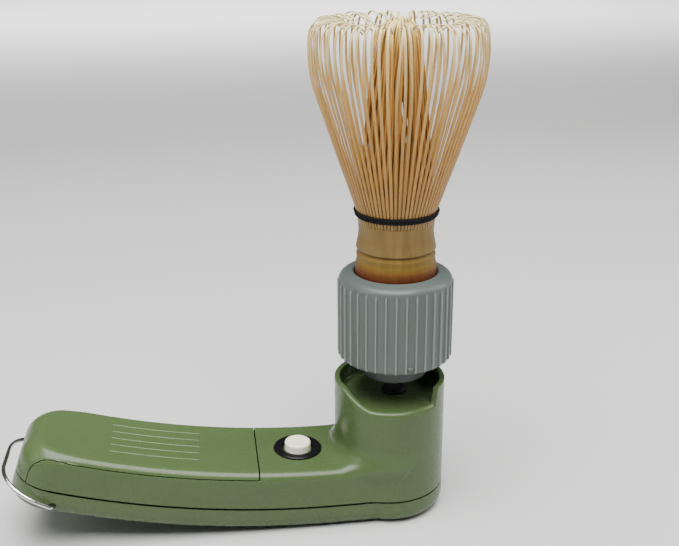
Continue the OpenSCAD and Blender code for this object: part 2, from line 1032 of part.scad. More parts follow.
module rear_contact() {
  color([0.75, 0.75, 0.76])
    at_bow(bay_angle) {
      translate([-bay_half - contact_t, -cell_y - 5, cell_h - 5])
        cube([contact_t, 2 * cell_y + 10, 10]);
      translate([-bay_half, cell_y, cell_h])
        cell_spring();
    }
}

// a straight wire between two points
module wire(a, b) {
  d = b - a;
  length = norm(d);
  translate(a)
    rotate([0, acos(d[2] / length), atan2(d[1], d[0])])
      cylinder(r = 0.6, h = length, $fn = 24);
}

module lead_wires() {
  color([0.7, 0.12, 0.1]) {
    wire([-50.2, cell_y, 5.5], [-37.8, 1, 5.3]);
    wire([-28.4, 0.5, 5.2], [-15.7, 3, 5.2]);
    wire([-50.2, -cell_y, 5.5], [-15.7, -6, 5.2]);
  }
}

// ---------- whisk ----------

module whisk_grip() {
  bore = grip_r - 3.2;
  color([0.62, 0.44, 0.24])
    rotate_extrude($fn = 120)
      polygon([
        [bore, hub_floor],
        [grip_r - 0.4, hub_floor],
        [grip_r, hub_floor + 0.5],
        [grip_r, lip_z + 1],
        [grip_r - 0.15, lip_z + 4],
        [grip_r - 0.5, shoulder_z + 9.6],
        [grip_r - 0.3, shoulder_z + 10.7],
        [grip_r - 0.6, shoulder_z + 11.8],
        [grip_r - 1.1, shoulder_z + 15],
        [grip_r - 1.2, shoulder_z + 17.5],
        [grip_r - 0.7, split_z],
        [bore, split_z],
        [bore, shoulder_z + 12],
        [0, shoulder_z + 11.5],
        [0, shoulder_z + 9.5],
        [bore, shoulder_z + 9]
      ]);
}

// centre line of an outer tine: leans out from the thread, then curls in at the top
curl_r = 4.2;
lean = 18;
foot_r = grip_r - 0.85;
shoulder_r = bell_r - 0.3;
swell = 36;
swell_z = top_z - 10.8;
line_end = [shoulder_r - swell * (1 - cos(lean)), swell_z - swell * sin(lean)];
tine_line = [
  [foot_r, split_z],
  [foot_r + 0.25, band_z + band_t],
  line_end,
  for (a = [lean - 6:-6:0]) [shoulder_r - swell * (1 - cos(a)), swell_z - swell * sin(a)],
  for (a = [8:8:16]) [shoulder_r - 24 * (1 - cos(a)), swell_z + 24 * sin(a)],
  for (a = [45:30:135]) [shoulder_r - 0.9 - curl_r * (1 - cos(a - 20)), swell_z + 6.6 + curl_r * sin(a - 20)],
  [bell_r - 9.4, top_z - 1.7]
];
function tine_thick(k) = 0.34 - 0.02 * k;
function along(k) = tine_line[min(k + 1, len(tine_line) - 1)] - tine_line[max(k - 1, 0)];
function side_step(k) = let (d = along(k)) [d[1], -d[0]] / norm(d) * tine_thick(k);
tine_outline = [
  for (k = [0:len(tine_line) - 1]) tine_line[k] + side_step(k),
  for (k = [len(tine_line) - 1:-1:0]) tine_line[k] - side_step(k)
];

module outer_tines() {
  color([0.85, 0.71, 0.42])
    for (i = [0:outer_count - 1])
      rotate([0, 0, i * 360 / outer_count])
        translate([0, tine_w / 2, 0])
          rotate([90, 0, 0])
            linear_extrude(tine_w)
              polygon(tine_outline);
}

module inner_tines() {
  low_radius = grip_r - 2.5;
  high_radius = 6.4;
  turn = 38;
  rise = top_z - 2.5 - split_z;
  reach = [high_radius * cos(turn) - low_radius, high_radius * sin(turn), rise];
  length = norm(reach);
  color([0.78, 0.62, 0.34])
    for (i = [0:inner_count - 1])
      rotate([0, 0, (i + 0.5) * 360 / inner_count])
        translate([low_radius, 0, split_z])
          rotate([0, acos(rise / length), atan2(reach[1], reach[0])])
            cylinder(r1 = 0.45, r2 = 0.22, h = length, $fn = 6);
}

module binding_thread() {
  color([0.08, 0.07, 0.07])
    rotate_extrude($fn = 120)
      polygon([
        [foot_r + 0.62, band_z],
        [foot_r + 1, band_z + 0.1],
        [foot_r + 1, band_z + band_t - 0.1],
        [foot_r + 0.62, band_z + band_t]
      ]);
}

upper_casing();
lower_casing();
battery_cover();
casing_screws();
button_cap();
button_bezel();
button_spring();
switch_body();
hanging_wire();
chuck_nut();
chuck_collet();
chuck_hub();
hub_screw();
spindle();
output_gear();
upper_bush();
lower_bush();
shaft_seal();
gear_plate();
plate_screws();
motor_can();
motor_magnets();
motor_end_cap();
motor_armature();
motor_windings();
motor_commutator();
motor_shaft();
pinion();
battery_left();
battery_right();
front_contacts();
rear_contact();
lead_wires();
whisk_grip();
outer_tines();
inner_tines();
binding_thread();
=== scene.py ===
import math
import random

import bmesh
import bpy
import numpy as np
from mathutils import Matrix, Vector


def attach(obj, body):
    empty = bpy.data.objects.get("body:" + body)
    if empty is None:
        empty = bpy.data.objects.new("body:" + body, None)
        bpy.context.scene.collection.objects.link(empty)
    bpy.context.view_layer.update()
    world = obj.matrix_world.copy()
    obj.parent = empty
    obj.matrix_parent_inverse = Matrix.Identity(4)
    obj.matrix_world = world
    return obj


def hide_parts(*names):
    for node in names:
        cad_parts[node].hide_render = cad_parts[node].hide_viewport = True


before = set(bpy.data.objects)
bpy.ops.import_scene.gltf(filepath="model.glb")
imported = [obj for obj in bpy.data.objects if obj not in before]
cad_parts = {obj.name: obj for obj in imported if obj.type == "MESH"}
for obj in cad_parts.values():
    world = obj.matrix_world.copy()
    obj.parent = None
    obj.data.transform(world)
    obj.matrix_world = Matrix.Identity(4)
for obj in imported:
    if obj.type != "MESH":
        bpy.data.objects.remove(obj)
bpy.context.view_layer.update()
random.seed(4)
MM = 0.001

# ---------- sizes, in millimetres, in the same frame as the CAD ----------
HEAD_R, HEAD_X = 18.05, -1.6
RIM_Z, RIM_LOW, FLOOR_Z = 46.0, 40.75, 40.3
SCOOP_LEFT, SCOOP_LEFT_RUN = -166.0, 50.0
SCOOP_RIGHT, SCOOP_RIGHT_RUN = -47.0, 6.5
SEAL_HOLE_R = 3.3
HALF_W, CASE_H, WALL = 16.8, 21.0, 1.8
BOW_START, BOW_R, BOW_MID = 22.0, 300.0, 290.0
END_ANGLE = math.radians(20.0)
PART_H, LIP_H = 8.5, 19.0
LOW_R, TOP_R, PLAN_R = 5.0, 3.0, 11.0
A_END = BOW_START + BOW_MID * END_ANGLE
A_SEAM = BOW_START + BOW_MID * math.asin((46.1 - BOW_START) / (BOW_R - CASE_H))
A_TAIL = BOW_START + BOW_MID * (END_ANGLE - math.radians(0.8))
A_BUTTON = BOW_START + BOW_MID * math.asin((32.4 - BOW_START) / (BOW_R - CASE_H))
A_HEAD = -HEAD_X
BUTTON_R = 4.3
SPLIT_H = 31.0
NUT_R, NUT_BODY_R, NUT_Z, SHOULDER_Z = 18.5, 18.05, 53.7, 80.0
THREAD_BORE_R, HUB_R, BOSS_R = 16.6, 16.4, 10.5
BOSS_Z = 47.6
LIP_Z = 82.6
TINE_FOOT_Z, TOP_Z = 98.9, 161.6
THREAD_Z, THREAD_R = (101.35, 102.25), 0.52


# ---------- materials ----------
def nodes_for(name):
    mat = bpy.data.materials.new(name)
    mat.use_nodes = True
    tree = mat.node_tree
    tree.nodes.clear()
    out = tree.nodes.new("ShaderNodeOutputMaterial")
    bsdf = tree.nodes.new("ShaderNodeBsdfPrincipled")
    tree.links.new(bsdf.outputs["BSDF"], out.inputs["Surface"])
    return mat, tree, bsdf


def noise(tree, scale, detail=4.0, stretch=(1, 1, 1), rough=0.55):
    coord = tree.nodes.new("ShaderNodeTexCoord")
    mapping = tree.nodes.new("ShaderNodeMapping")
    mapping.inputs["Scale"].default_value = stretch
    tree.links.new(coord.outputs["Object"], mapping.inputs["Vector"])
    n = tree.nodes.new("ShaderNodeTexNoise")
    n.inputs["Scale"].default_value = scale
    n.inputs["Detail"].default_value = detail
    n.inputs["Roughness"].default_value = rough
    tree.links.new(mapping.outputs["Vector"], n.inputs["Vector"])
    return n.outputs["Fac"]


def ramp(tree, source, stops):
    r = tree.nodes.new("ShaderNodeValToRGB")
    while len(r.color_ramp.elements) < len(stops):
        r.color_ramp.elements.new(0.5)
    for e, (pos, col) in zip(r.color_ramp.elements, stops):
        e.position = pos
        e.color = (*col, 1.0) if len(col) == 3 else col
    tree.links.new(source, r.inputs["Fac"])
    return r.outputs["Color"]


def bump(tree, bsdf, source, distance, strength=1.0):
    b = tree.nodes.new("ShaderNodeBump")
    b.inputs["Strength"].default_value = strength
    b.inputs["Distance"].default_value = distance
    tree.links.new(source, b.inputs["Height"])
    tree.links.new(b.outputs["Normal"], bsdf.inputs["Normal"])


def tinted(colour, amount):
    return [tuple(max(0.0, c * (1 + s * amount)) for c in colour) for s in (-1, 1)]


def plastic(name, colour, rough, spread=0.06, grain=0.00001, coat=0.0, scale=60.0, shine=0.35):
    mat, tree, bsdf = nodes_for(name)
    broad = noise(tree, scale * 0.4, 3)
    fine = noise(tree, scale * 40, 2)
    dark, light = tinted(colour, spread)
    tree.links.new(ramp(tree, broad, [(0.3, dark), (0.7, light)]), bsdf.inputs["Base Color"])
    tree.links.new(
        ramp(tree, noise(tree, scale * 3, 5), [(0.3, (rough * 0.88,) * 3), (0.7, (rough * 1.15,) * 3)]),
        bsdf.inputs["Roughness"],
    )
    bsdf.inputs["Coat Weight"].default_value = coat
    bsdf.inputs["Coat Roughness"].default_value = 0.12
    bsdf.inputs["Specular IOR Level"].default_value = shine
    bump(tree, bsdf, fine, grain, 0.6)
    return mat


def metal(name, colour, rough, stretch=(1, 1, 1), scale=400.0):
    mat, tree, bsdf = nodes_for(name)
    fine = noise(tree, scale, 4, stretch)
    dark, light = tinted(colour, 0.12)
    tree.links.new(ramp(tree, fine, [(0.3, dark), (0.7, light)]), bsdf.inputs["Base Color"])
    worn = ramp(tree, fine, [(0.3, (rough * 0.8,) * 3), (0.7, (rough * 1.3,) * 3)])
    tree.links.new(worn, bsdf.inputs["Roughness"])
    bsdf.inputs["Metallic"].default_value = 1.0
    bump(tree, bsdf, fine, 0.000008, 0.5)
    return mat


GREEN = plastic("green_plastic", (0.060, 0.096, 0.035), 0.27, 0.03, 0.000004, 0.0, shine=0.3)
GREY = plastic("grey_plastic", (0.085, 0.104, 0.096), 0.36, 0.03, 0.000008, 0.0)
DARK_GREY = plastic("dark_grey_plastic", (0.05, 0.058, 0.053), 0.45, 0.05)
WHITE = plastic("white_plastic", (0.74, 0.73, 0.68), 0.42, 0.03)
IVORY = plastic("ivory_plastic", (0.86, 0.84, 0.68), 0.34, 0.03, 0.000006, 0.1)
BLACK = plastic("black_plastic", (0.006, 0.005, 0.006), 0.35, 0.2, 0.00001, 0.0, shine=0.15)
RUBBER = plastic("seal_rubber", (0.012, 0.012, 0.012), 0.6, 0.3)
STEEL = metal("bright_steel", (0.63, 0.62, 0.6), 0.2)
BRONZE = metal("bronze", (0.58, 0.4, 0.18), 0.4)
COPPER = metal("copper", (0.6, 0.25, 0.1), 0.3)
CORE = metal("laminated_core", (0.26, 0.26, 0.28), 0.45, (1, 1, 30), 60.0)
MAGNET = plastic("magnet", (0.035, 0.035, 0.04), 0.55, 0.2)
CELL = plastic("cell_jacket", (0.03, 0.036, 0.05), 0.25, 0.15, 0.000004, 0.4)
LEAD = plastic("lead_insulation", (0.42, 0.02, 0.015), 0.4, 0.1)
PRINT = plastic("pale_print", (0.28, 0.36, 0.22), 0.5, 0.05)


def mix(tree, factor, a, b, mode="MIX"):
    m = tree.nodes.new("ShaderNodeMix")
    m.data_type = "RGBA"
    m.blend_type = mode
    if isinstance(factor, float):
        m.inputs[0].default_value = factor
    else:
        tree.links.new(factor, m.inputs[0])
    for value, socket in ((a, m.inputs[6]), (b, m.inputs[7])):
        if isinstance(value, tuple):
            socket.default_value = (*value, 1.0)
        else:
            tree.links.new(value, socket)
    return m.outputs[2]


def tine_material(name, stops, spread):
    """Bamboo strip: colour runs from foot to tip along the 'run' attribute, and 'tone' varies each strip."""
    mat, tree, bsdf = nodes_for(name)
    run = tree.nodes.new("ShaderNodeAttribute")
    run.attribute_name = "run"
    tone = tree.nodes.new("ShaderNodeAttribute")
    tone.attribute_name = "tone"
    along = ramp(tree, run.outputs["Fac"], stops)
    shade = ramp(tree, tone.outputs["Fac"], [(0.0, (1 - spread,) * 3), (1.0, (1.0, 1.0, 1.0))])
    fibre = noise(tree, 900, 3, (1, 1, 0.05))
    streak = ramp(tree, fibre, [(0.3, (0.84, 0.81, 0.76)), (0.7, (1.0, 1.0, 1.0))])
    colour = mix(tree, 1.0, mix(tree, 1.0, along, shade, "MULTIPLY"), streak, "MULTIPLY")
    tree.links.new(colour, bsdf.inputs["Base Color"])
    bsdf.inputs["Roughness"].default_value = 0.48
    bsdf.inputs["Subsurface Weight"].default_value = 0.12
    bsdf.inputs["Subsurface Radius"].default_value = (0.0012, 0.0007, 0.0003)
    bump(tree, bsdf, fibre, 0.00003, 0.5)
    return mat


OUTER = tine_material(
    "outer_bamboo",
    [
        (0.0, (0.32, 0.20, 0.06)), (0.08, (0.40, 0.215, 0.05)), (0.35, (0.50, 0.26, 0.055)),
        (0.6, (0.62, 0.37, 0.10)), (0.8, (0.76, 0.56, 0.25)), (1.0, (0.9, 0.77, 0.40)),
    ],
    0.25,
)
INNER = tine_material(
    "inner_bamboo",
    [
        (0.0, (0.36, 0.16, 0.03)), (0.5, (0.45, 0.20, 0.035)), (0.85, (0.58, 0.30, 0.065)),
        (0.94, (0.85, 0.58, 0.17)), (1.0, (0.95, 0.80, 0.36)),
    ],
    0.35,
)


def grip_material():
    mat, tree, bsdf = nodes_for("grip_bamboo")
    geo = tree.nodes.new("ShaderNodeTexCoord")
    split = tree.nodes.new("ShaderNodeSeparateXYZ")
    tree.links.new(geo.outputs["Object"], split.inputs["Vector"])
    height = tree.nodes.new("ShaderNodeMapRange")
    height.inputs["From Min"].default_value = 0.080
    height.inputs["From Max"].default_value = 0.104
    tree.links.new(split.outputs["Z"], height.inputs["Value"])
    wobble = noise(tree, 60, 3)
    add = tree.nodes.new("ShaderNodeMath")
    add.operation = "MULTIPLY_ADD"
    add.inputs[1].default_value = 0.05
    tree.links.new(wobble, add.inputs[0])
    tree.links.new(height.outputs["Result"], add.inputs[2])
    bands = ramp(
        tree,
        add.outputs["Value"],
        [
            (0.0, (0.09, 0.022, 0.006)), (0.17, (0.13, 0.035, 0.008)), (0.235, (0.16, 0.065, 0.012)),
            (0.30, (0.19, 0.115, 0.02)), (0.42, (0.22, 0.135, 0.03)), (0.455, (0.10, 0.05, 0.012)),
            (0.475, (0.20, 0.135, 0.045)), (0.6, (0.19, 0.125, 0.042)), (0.85, (0.24, 0.155, 0.05)),
            (1.0, (0.30, 0.19, 0.056)),
        ],
    )
    fibre = noise(tree, 700, 4, (1, 1, 0.04))
    streak = ramp(tree, fibre, [(0.3, (0.8, 0.78, 0.74)), (0.7, (1.0, 1.0, 1.0))])
    patches = noise(tree, 90, 4, (1, 1, 0.35))
    blotch = ramp(tree, patches, [(0.35, (0.86, 0.84, 0.8)), (0.65, (1.0, 1.0, 1.0))])
    colour = mix(tree, 1.0, mix(tree, 1.0, bands, streak, "MULTIPLY"), blotch, "MULTIPLY")
    tree.links.new(colour, bsdf.inputs["Base Color"])
    bsdf.inputs["Roughness"].default_value = 0.5
    bsdf.inputs["Specular IOR Level"].default_value = 0.2
    bump(tree, bsdf, fibre, 0.00003, 0.45)
    return mat


GRIP = grip_material()


def ribbed_material():
    """The nut's grey, with a painted highlight: paler along the rib crests, where the light catches them."""
    mat = plastic("ribbed_grey_with_painted_highlight", (0.085, 0.104, 0.096), 0.36, 0.03, 0.000008)
    tree = mat.node_tree
    bsdf = next(n for n in tree.nodes if n.type == "BSDF_PRINCIPLED")
    crest_highlight = tree.nodes.new("ShaderNodeAttribute")
    crest_highlight.attribute_name = "crest_highlight"
    base = bsdf.inputs["Base Color"].links[0].from_socket
    # painted highlight: the base colour is mixed toward a paler grey by the crest mask
    tree.links.new(mix(tree, crest_highlight.outputs["Fac"], base, (0.17, 0.195, 0.182)), bsdf.inputs["Base Color"])
    return mat


RIBBED = ribbed_material()


def thread_material():
    mat, tree, bsdf = nodes_for("black_thread")
    twist = noise(tree, 1500, 3)
    black = ramp(tree, twist, [(0.3, (0.002, 0.002, 0.002)), (0.7, (0.009, 0.008, 0.009))])
    tree.links.new(black, bsdf.inputs["Base Color"])
    bsdf.inputs["Roughness"].default_value = 0.8
    bsdf.inputs["Specular IOR Level"].default_value = 0.2
    bump(tree, bsdf, twist, 0.00006, 0.8)
    return mat


THREAD = thread_material()


# ---------- mesh helpers ----------
def add_object(name, verts, faces, material, body, stands_for=(), smooth=True, scale=MM):
    mesh = bpy.data.meshes.new(name)
    mesh.from_pydata([tuple(float(c) * scale for c in v) for v in verts], [], [list(f) for f in faces])
    mesh.update()
    mesh.materials.append(material)
    obj = bpy.data.objects.new(name, mesh)
    bpy.context.scene.collection.objects.link(obj)
    if smooth:
        mesh.polygons.foreach_set("use_smooth", [True] * len(mesh.polygons))
    if stands_for:
        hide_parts(*stands_for)
    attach(obj, body)
    return obj


def rounded(profile, radius, steps=4):
    """A closed outline of (r, z) points with its corners rounded."""
    pts = [np.array(p[:2], float) for p in profile]
    radii = [p[2] if len(p) > 2 else radius for p in profile]
    out = []
    for i, p in enumerate(pts):
        a, b = pts[i - 1] - p, pts[(i + 1) % len(pts)] - p
        la, lb = np.linalg.norm(a), np.linalg.norm(b)
        r = radii[i]
        if r <= 0 or la < 1e-6 or lb < 1e-6:
            out.append(tuple(p))
            continue
        a, b = a / la, b / lb
        cosine = float(np.clip(a @ b, -1, 1))
        half = math.acos(cosine) / 2
        if abs(half - math.pi / 2) < 0.03:
            out.append(tuple(p))
            continue
        cut = min(r / math.tan(half), la * 0.48, lb * 0.48)
        r = cut * math.tan(half)
        middle = (a + b) / np.linalg.norm(a + b)
        centre = p + middle * (r / math.sin(half))
        first, last = p + a * cut - centre, p + b * cut - centre
        for k in range(steps + 1):
            v = first * (1 - k / steps) + last * (k / steps)
            v = v / np.linalg.norm(v) * r
            out.append(tuple(centre + v))
    return out


def lathe(outline, steps, centre=(0.0, 0.0), radial=None):
    """Turns a closed outline round a vertical axis; radial(angle, r, z) may shift the radius."""
    verts, faces = [], []
    n = len(outline)
    for i in range(steps):
        a = 2 * math.pi * i / steps
        for r, z in outline:
            rr = radial(a, r, z) if radial else r
            verts.append((centre[0] + rr * math.cos(a), centre[1] + rr * math.sin(a), z))
    for i in range(steps):
        j = (i + 1) % steps
        for k in range(n):
            m = (k + 1) % n
            faces.append((i * n + k, j * n + k, j * n + m, i * n + m))
    return verts, faces


def sharpen(obj, degrees=35):
    obj.data.set_sharp_from_angle(angle=math.radians(degrees))


def tube(name, points, radius, material, body, stands_for=(), closed=False, steps=12):
    """A round wire along points."""
    pts = np.array(points, float)
    n = len(pts)
    tangents = np.array([
        (pts[(i + 1) % n] - pts[i - 1]) if closed else (pts[min(i + 1, n - 1)] - pts[max(i - 1, 0)])
        for i in range(n)
    ])
    tangents /= np.linalg.norm(tangents, axis=1)[:, None]
    side = np.cross(tangents[0], (0.3, 0.2, 0.9))
    verts, faces = [], []
    for p, t in zip(pts, tangents):
        side = side - t * (side @ t)
        side /= np.linalg.norm(side)
        up = np.cross(t, side)
        for k in range(steps):
            a = 2 * math.pi * k / steps
            verts.append(p + radius * (math.cos(a) * side + math.sin(a) * up))
    for i in range(n if closed else n - 1):
        j = (i + 1) % n
        for k in range(steps):
            m = (k + 1) % steps
            faces.append((i * steps + k, i * steps + m, j * steps + m, j * steps + k))
    if not closed:
        faces.append(tuple(range(steps))[::-1])
        faces.append(tuple(range((n - 1) * steps, n * steps)))
    return add_object(name, verts, faces, material, body, stands_for)


def place(a, y, h):
    """From handle coordinates (distance along, across, height above the underside) to the frame."""
    a, y, h = (np.asarray(v, float) for v in (a, y, h))
    phi = (a - BOW_START) / BOW_MID
    bowed = a > BOW_START
    x = np.where(bowed, -BOW_START - (BOW_R - h) * np.sin(phi), -a)
    z = np.where(bowed, BOW_R - (BOW_R - h) * np.cos(phi), h)
    return np.stack([x, y, z], -1)


# ---------- casing skin ----------
def step01(v):
    v = np.clip(v, 0, 1)
    return v * v * (3 - 2 * v)


def smooth_min(a, b, k):
    k = np.maximum(k, 1e-4)
    h = np.clip(0.5 + 0.5 * (b - a) / k, 0, 1)
    return b * (1 - h) + a * h - k * h * (1 - h)


def round_meet(u, v):
    return np.minimum(np.maximum(u, v), 0) + np.hypot(np.maximum(u, 0), np.maximum(v, 0))


def skin(a, y, h):
    """Distance to the outside of the casing, in handle coordinates."""
    corner_a = np.maximum(a - (A_END - PLAN_R), 0)
    corner_y = np.maximum(np.abs(y) - (HALF_W - PLAN_R), 0)
    ahead = np.minimum(np.maximum(a - (A_END - PLAN_R), np.abs(y) - (HALF_W - PLAN_R)), 0)
    plan = ahead + np.hypot(corner_a, corner_y) - PLAN_R
    toward_end = step01((a - (A_END - 20)) / 20)
    mid = CASE_H / 2
    above = h > mid
    r = np.where(above, TOP_R + (7.0 - TOP_R) * toward_end, LOW_R - 0.8 * toward_end)
    high = np.abs(h - mid) - mid
    handle = round_meet(plan + r, high + r) - r
    handle = np.maximum(handle, A_HEAD - a)
    radial = np.hypot(a - A_HEAD, y) - HEAD_R
    head = round_meet(radial + LOW_R, -h + LOW_R) - LOW_R
    k = 5.0 * step01((h - 15.5) / 5.5) + 1.6 * step01((h - 3) / 5)
    body = smooth_min(handle, head, k)
    groove = 6.0 - np.hypot(a - (BOW_START + BOW_MID * math.radians(14.2)), h + 5.1)
    return np.maximum(body, groove)


def grad(a, y, h, e=0.01):
    return np.stack([
        skin(a + e, y, h) - skin(a - e, y, h),
        skin(a, y + e, h) - skin(a, y - e, h),
        skin(a, y, h + e) - skin(a, y, h - e),
    ], -1) / (2 * e)


def skin_mesh(step):
    axes = [
        np.arange(-19.1, A_END + 2.5, step),
        np.arange(-20.2, 20.0 + step, step),
        np.arange(-1.7, SPLIT_H + 2.5, step),
    ]
    grid = np.meshgrid(*axes, indexing="ij")
    values = skin(*grid)
    inside = values < 0
    corners = [
        inside[i:inside.shape[0] - 1 + i, j:inside.shape[1] - 1 + j, k:inside.shape[2] - 1 + k]
        for i in (0, 1) for j in (0, 1) for k in (0, 1)
    ]
    some = np.logical_or.reduce(corners)
    every = np.logical_and.reduce(corners)
    active = some & ~every
    index = -np.ones(active.shape, int)
    index[active] = np.arange(active.sum())
    cells = np.argwhere(active)
    verts = np.stack([axes[d][cells[:, d]] + step / 2 for d in range(3)], -1)
    for _ in range(7):
        f = skin(*verts.T)
        g = grad(*verts.T)
        verts = verts - g * (f / np.maximum((g * g).sum(1), 1e-6))[:, None] * 0.9
    faces = []
    for d in range(3):
        e, f = [(1, 2), (2, 0), (0, 1)][d]
        lo = [slice(None)] * 3
        hi = [slice(None)] * 3
        lo[d], hi[d] = slice(0, -1), slice(1, None)
        cross = inside[tuple(lo)] != inside[tuple(hi)]
        edge = np.argwhere(cross)
        for side in (e, f):
            edge = edge[(edge[:, side] > 0) & (edge[:, side] < inside.shape[side] - 1)]
        starts_in = inside[tuple(edge.T)]

        def cell(de, df):
            c = edge.copy()
            c[:, e] += de
            c[:, f] += df
            return index[tuple(c.T)]

        quad = np.stack([cell(-1, -1), cell(0, -1), cell(0, 0), cell(-1, 0)], -1)
        quad[~starts_in] = quad[~starts_in][:, ::-1]
        faces.append(quad)
    return verts, np.concatenate(faces)


def rim_height(theta):
    """Height of the head's rim at an angle round the head, in degrees."""
    theta = (theta + 180) % 360 - 180
    left = 1 - step01((theta - SCOOP_LEFT) / SCOOP_LEFT_RUN)
    right = step01((theta - SCOOP_RIGHT) / SCOOP_RIGHT_RUN)
    return RIM_LOW + (RIM_Z - RIM_LOW) * max(float(left), float(right))


TAIL_R = 7.0
CORNER_A, CORNER_H = A_TAIL - TAIL_R, LIP_H - TAIL_R
TAIL_ARC = [math.radians(d) for d in (11, 28, 45, 62, 79)]


def build_casing():
    verts, faces = skin_mesh(0.45)
    bm = bmesh.new()
    made = [bm.verts.new(v) for v in verts]
    for f in faces:
        try:
            bm.faces.new([made[i] for i in f])
        except ValueError:
            pass
    bmesh.ops.remove_doubles(bm, verts=bm.verts, dist=0.01)

    def cut(co, no, clear=False):
        geom = list(bm.verts) + list(bm.edges) + list(bm.faces)
        bmesh.ops.bisect_plane(bm, geom=geom, dist=1e-4, plane_co=co, plane_no=no, clear_outer=clear)

    cut((0, 0, SPLIT_H), (0, 0, 1), True)
    cut((0, 0, PART_H), (0, 0, 1))
    cut((0, 0, LIP_H), (0, 0, 1))
    cut((A_SEAM, 0, 0), (1, 0, 0))
    cut((A_TAIL, 0, 0), (1, 0, 0))
    for angle in TAIL_ARC:
        outward = (math.cos(angle), 0, math.sin(angle))
        point = (CORNER_A + TAIL_R * outward[0], 0, CORNER_H + TAIL_R * outward[2])
        near = [
            f for f in bm.faces
            if max(v.co.x for v in f.verts) > CORNER_A and max(v.co.z for v in f.verts) > CORNER_H
        ]
        near = list({v for f in near for v in f.verts} | {e for f in near for e in f.edges}) + near
        bmesh.ops.bisect_plane(bm, geom=near, dist=1e-4, plane_co=point, plane_no=outward)

    def part_of(c):
        if c.z < PART_H:
            return 0
        if (c.x > A_SEAM and c.z > LIP_H) or c.x > A_TAIL:
            return 2
        outside = any(
            (c.x - CORNER_A) * math.cos(t) + (c.z - CORNER_H) * math.sin(t) > TAIL_R for t in TAIL_ARC
        )
        return 2 if outside and c.x > CORNER_A and c.z > CORNER_H else 1

    bm.faces.ensure_lookup_table()
    parts = [part_of(f.calc_center_median()) for f in bm.faces]
    result = []
    for want in range(3):
        piece = bm.copy()
        piece.faces.ensure_lookup_table()
        drop = [f for f, p in zip(piece.faces, parts) if p != want]
        bmesh.ops.delete(piece, geom=drop, context="FACES")
        result.append(piece)
    bm.free()
    return result


GAP = 0.16
PART_GAP = 0.32


def on_tail_arc(x, z):
    if x < CORNER_A - 1e-3 or z < CORNER_H - 1e-3:
        return None
    reach = [(x - CORNER_A) * math.cos(t) + (z - CORNER_H) * math.sin(t) for t in TAIL_ARC]
    best = int(np.argmax(reach))
    return TAIL_ARC[best] if abs(reach[best] - TAIL_R) < 2e-3 else None


def open_gap(piece, want):
    """Draws each piece back from the joints by half a gap."""
    for v in piece.verts:
        if not v.is_boundary:
            continue
        x, z = v.co.x, v.co.z
        if abs(z - PART_H) < 1e-3:
            v.co.z += -PART_GAP if want == 0 else PART_GAP
        arc = on_tail_arc(x, z)
        if want and arc is not None:
            sign = 1 if want == 2 else -1
            v.co.x += sign * GAP * math.cos(arc)
            v.co.z += sign * GAP * math.sin(arc)
            continue
        if want == 1 and x > A_SEAM - 1e-3 and abs(z - LIP_H) < 1e-3:
            v.co.z -= GAP
        if want == 1 and abs(x - A_SEAM) < 1e-3 and z > LIP_H - 1e-3:
            v.co.x -= PART_GAP
        if want == 1 and abs(x - A_TAIL) < 1e-3:
            v.co.x -= GAP
        if want == 2:
            if abs(x - A_TAIL) < 1e-3 and z < LIP_H + 1e-3:
                v.co.x += GAP
            elif abs(z - LIP_H) < 1e-3:
                v.co.z += GAP
            if abs(x - A_SEAM) < 1e-3:
                v.co.x += GAP


def lips(piece, depth, keep_open=None):
    """Gives the open edges a thickness, turned in along the skin's normal."""
    edges = [e for e in piece.edges if e.is_boundary and not (keep_open and keep_open(e))]
    old = {v for e in edges for v in e.verts}
    normals = {}
    for v in old:
        g = grad(np.array([v.co.x]), np.array([v.co.y]), np.array([v.co.z]))[0]
        normals[v] = Vector(g / max(np.linalg.norm(g), 1e-6))
    done = bmesh.ops.extrude_edge_only(piece, edges=edges)
    for v in [g for g in done["geom"] if isinstance(g, bmesh.types.BMVert)]:
        others = [e.other_vert(v) for e in v.link_edges]
        source = min((o for o in others if o in normals), key=lambda o: (o.co - v.co).length)
        v.co -= normals[source] * depth


